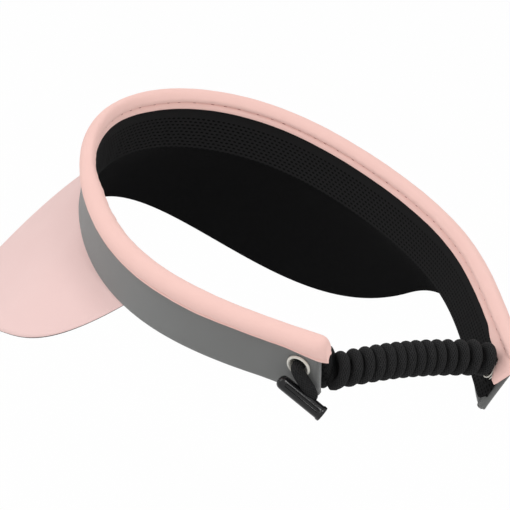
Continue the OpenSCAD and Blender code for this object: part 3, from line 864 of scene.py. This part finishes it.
for side, word in SIDES:
    along = stations(half_length, 0.9)[:, None]
    ripple = (0.05 * np.sin(along * 0.62 + 0.7) + 0.03 * np.sin(along * 1.27 + 2.1)
              + 0.06 * np.sin(along * 0.23))
    pull = np.exp(-((along - stitch_at) / 1.5) ** 2).sum(1, keepdims=True)
    fade = 1 - smooth((along - (half_length - flat_length)) / flat_length)
    puff = np.exp(-((from_crease + 1.5) / 1.1) ** 2)
    strip = np.exp(-((from_crease - 1.3) / 0.7) ** 2)
    near_hem = np.exp(-((outline_run - hem_run - 1.2) / 1.2) ** 2)
    swell = fade * (ripple * (0.3 + puff + near_hem) + puff * (0.2 - 0.14 * pull)
                    - strip * 0.06 * pull - near_hem * 0.06 * pull)
    size = np.linalg.norm(outline, axis=1)
    grow = 1 + swell / size
    thin = 0.5 + 0.5 * np.sqrt(np.clip(1 - (1 - fade) ** 2, 0, 1))
    near_end = np.clip((along - (half_length - top_corner)) / top_corner, 0, 1)
    top = -roll_radius + corner_drop * (1 - np.sqrt(1 - near_end ** 2))
    depth = outline[:, 1] * grow
    depth = outer_hem - (outer_hem - depth) * (outer_hem - top) / (outer_hem + roll_radius)
    hem_fall = (hem_end_fall * smooth((along - hem_end_from) / 19)
                - hem_rise * smooth((along - rear_rise_from) / 25)
                - hem_rise * smooth((front_rise_to - along) / 30))
    depth = depth + hem_fall * outer_share
    out = slimmed(side, along, 0.3 * (1 - thin) + outline[:, 0] * grow * thin)
    if word == "right":
        fold = np.clip((along - flap_from) / flap_run, 0, 1)
        widened = strip_growth * smooth((along - strip_from) / 9)
        depth = depth + (widened + flap_fall * fold) * strip_share
        out = out - flap_in * fold * strip_share
    points = place(side * along + 0 * out, out, depth)
    uv = np.stack([along + 0 * out, outline_run + 0 * out], -1)
    piece = grid_piece(f"rolled_rim_{word}", points, uv)
    close_tube(piece)
    smooth_shade(piece, 60)
    dress(piece, pinks_lit_and_shaded["rim"])
    along_band(piece, word, side, "binding")

    core_along = stations(half_length - flat_length, 2.5)
    core_angle = np.linspace(0, 2 * np.pi, 21)
    core_out = slimmed(side, core_along[:, None], core_radius * np.sin(core_angle))
    points = place(side * core_along[:, None] + 0 * core_angle, core_out,
                   core_radius * np.cos(core_angle) - core_lift + 0 * core_along[:, None])
    uv = np.stack(np.meshgrid(core_along, core_angle * core_radius, indexing="ij"), -1)
    piece = grid_piece(f"rim_foam_{word}", points, uv)
    close_tube(piece)
    smooth_shade(piece, 50)
    dress(piece, pad_foam)
    along_band(piece, word, side, "binding_core")

# The stitches: short lengths of dull red thread in the crease inside the rim, which pull
# the roll and the strip down. Each is one small bead of thread, sunk at both ends. Their
# dark red is partly the thread's own colour and partly painted shade of the dimples that
# the stitches pull in the cloth.
bead_size, bead_out = (0.8, 0.24, 0.24), 0.06
stitch_red_and_dimple_shade, wire = new_finish("stitch_red_and_dimple_shade", {"Roughness": 0.8, "Specular IOR Level": 0.2})
twist = noise(wire, 4000.0)
feed(stitch_red_and_dimple_shade, "Base Color", twist.mix((0.34, 0.1, 0.09, 1), (0.56, 0.22, 0.2, 1)))
feed_bump(stitch_red_and_dimple_shade, twist, 0.00005)
for side, word in SIDES:
    bpy.ops.object.select_all(action="DESELECT")
    bpy.ops.mesh.primitive_uv_sphere_add(segments=8, ring_count=6, radius=1.0)
    first = bpy.context.object
    first.data.transform(Matrix.Diagonal(metres(bead_size) + (1,)))
    beads = []
    for at in stitch_at:
        bead = first.copy()
        bead.data = first.data.copy()
        bpy.context.scene.collection.objects.link(bead)
        spot = place(side * at, slimmed(side, at, stitch_out) + bead_out, stitch_depth)
        ahead = unit(place(side * (at + 0.5), 0, 0) - place(side * (at - 0.5), 0, 0))
        across = unit(np.cross(ahead, UP))
        axes = np.eye(4)
        axes[:3, :4] = np.stack([ahead, across, np.cross(ahead, across), spot * MM], -1)
        bead.data.transform(Matrix(axes.tolist()))
        beads.append(bead)
    bpy.data.objects.remove(first)
    bpy.ops.object.select_all(action="DESELECT")
    for bead in beads:
        bead.select_set(True)
    bpy.context.view_layer.objects.active = beads[0]
    bpy.ops.object.join()
    piece = bpy.context.object
    piece.name = piece.data.name = f"rim_stitches_{word}"
    smooth_shade(piece, 60)
    dress(piece, stitch_red_and_dimple_shade)
    bend_with_arm(piece, side)

# The brim's board: a moulded plastic sheet that holds the brim's curve. Its root is sewn
# to the band's lower edge, and it thins out towards the brim's two ends.
brim_end_at, brim_end_width = 132.5, 1.5
brim_reach, brim_drop, tip_handle = 43.5, 37, 33
side_at, side_flare, side_drop = np.array(84.5), 38, 40
side_slope = math.radians(30.5)
front_handle, rear_handle = 95, 35
end_reach, end_ahead, end_drop = 30, 22.5, 30.5
seam_gap = 0.1
root_share = 0.1
widest_share = 2 / 3
brim_crown = 2.3


def seam(along):
    return place(along, 0, band_height + seam_gap)


tip = seam(0.0) + [0, brim_reach, -brim_drop]
widest = seam(side_at) + outward(side_at) * side_flare - UP * side_drop
side_run = np.array([0, math.cos(side_slope), -math.sin(side_slope)])
end_out = outward(np.array(brim_end_at))
end_forward = unit(np.cross(UP, end_out))
brim_end = seam(brim_end_at) + unit(end_out - UP) * brim_end_width
front_curve = [tip, tip + [tip_handle, 0, 0], widest + side_run * front_handle, widest]
rear_curve = [widest, widest - side_run * rear_handle,
              brim_end + end_out * end_reach + end_forward * end_ahead - UP * end_drop, brim_end]


def brim_edge(u):
    """A point on the free edge of the brim, by its share of the width."""
    size = np.abs(u)
    front = bezier(front_curve, np.clip(size / widest_share, 0, 1))
    rear = bezier(rear_curve, np.clip((size - widest_share) / (1 - widest_share), 0, 1))
    edge = np.where((size < widest_share)[..., None], front, rear)
    return edge * np.stack([np.where(u < 0, -1.0, 1.0), 0 * u + 1, 0 * u + 1], -1)


def brim_surface(u, v, out):
    """A point of the brim: share of its width, share from band to edge, and height."""
    along = u * brim_end_at
    chord = brim_edge(u) - seam(along)
    rise = unit(np.cross(chord, unit(np.cross(UP, outward(along)))))
    facing = (rise * normal(along)).sum(-1) + rise[..., 2]
    rise = rise * np.where(facing < 0, -1.0, 1.0)[..., None]
    turn_in = smooth(v / root_share)[..., None]
    across = unit(normal(along) * (1 - turn_in) + rise * turn_in)
    crown = brim_crown * 4 * v * (1 - v) * (1 - u * u)
    return (seam(along) + chord * v[..., None] + rise * crown[..., None]
            + across * out[..., None])


cover_level = 1.1
brim_columns, crowding = 170, 0.82
end_share, end_run = 0.25, 0.2
cloth_half = 150
u = np.sin(np.linspace(-1, 1, brim_columns + 1) * math.pi / 2 * crowding)
u = u / u[-1]
width = np.linalg.norm(brim_edge(u) - seam(u * brim_end_at), axis=-1)
rise = cover_level * (end_share + (1 - end_share) * smooth((1 - np.abs(u)) / end_run))
board_plastic, wire = new_finish("board_plastic", {"Roughness": 0.5})
grain = noise(wire, 400.0)
feed(board_plastic, "Base Color", grain.mix((0.7, 0.7, 0.68, 1), (0.8, 0.8, 0.78, 1)))
feed_bump(board_plastic, grain, 0.00005)
board_share, board_margin, most_margin = 0.55, 1.5, 0.4
inside = 1 - np.minimum(board_margin, most_margin * width) / width
top_rows = [(share * inside, board_share * rise) for share in np.linspace(0, 1, 25)]
low_rows = [(v_row, -out_row) for v_row, out_row in reversed(top_rows)]
rows = top_rows + low_rows + top_rows[:1]
v = np.stack([row[0] for row in rows], -1)
out = np.stack([row[1] for row in rows], -1)
points = brim_surface(u[:, None] + 0 * v, v, out)
uv = np.stack([u[:, None] * cloth_half + 0 * v, v * width[:, None]], -1)
piece = grid_piece("brim_board_sheet", points, uv)
close_tube(piece)
smooth_shade(piece, 50)
dress(piece, board_plastic)
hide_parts("brim_board")
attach(piece, "front")

# The brim's covers: pink cloth above and black cloth below, drawn tight over the board.
# They meet round the free edge, and both are sewn to the band with the board's root.
cover_thick = 0.4
thin = 1 - cover_thick / cover_level
outer_rows = []
inner_rows = []
for share in np.linspace(0, 1, 34)[:-1]:
    outer_rows.append((share * (width - rise) / width, rise))
for angle in np.linspace(0, np.pi / 2, 9):
    outer_rows.append((1 - rise * (1 - math.sin(angle)) / width, rise * math.cos(angle)))
for v_row, out_row in reversed(outer_rows):
    inner_rows.append((np.minimum(v_row, 1 - rise * (1 - thin) / width), out_row * thin))
rows = outer_rows + inner_rows + outer_rows[:1]
v = np.stack([row[0] for row in rows], -1)
out = np.stack([row[1] for row in rows], -1)
u_grid = u[:, None] + 0 * v
black_weave, wire = new_finish("black_weave", {"Roughness": 0.95, "Specular IOR Level": 0.05})
run, across = uv_axes(wire)
weave = (run / 0.5).wave(1.0) * (across / 0.5).wave(1.0)
fleck = noise(wire, 900.0)
feed(black_weave, "Base Color",
     (weave * 0.35 + fleck * 0.6 + 0.1).mix((0.002, 0.002, 0.0022, 1), (0.007, 0.007, 0.0075, 1)))
feed_bump(black_weave, weave + fleck, 0.00008)
for word, sign, finish, slot in (("top", 1, pinks_lit_and_shaded["brim"], "pink_cloth"),
                                 ("under", -1, black_weave, "black_cloth")):
    points = brim_surface(u_grid, v, sign * out)
    uv = np.stack([u_grid * cloth_half, v * width[:, None]], -1)
    piece = grid_piece(f"brim_cloth_{word}", points, uv)
    close_tube(piece)
    smooth_shade(piece, 50)
    dress(piece, finish)
    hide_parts(f"brim_{word}_cover")
    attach(piece, "front")
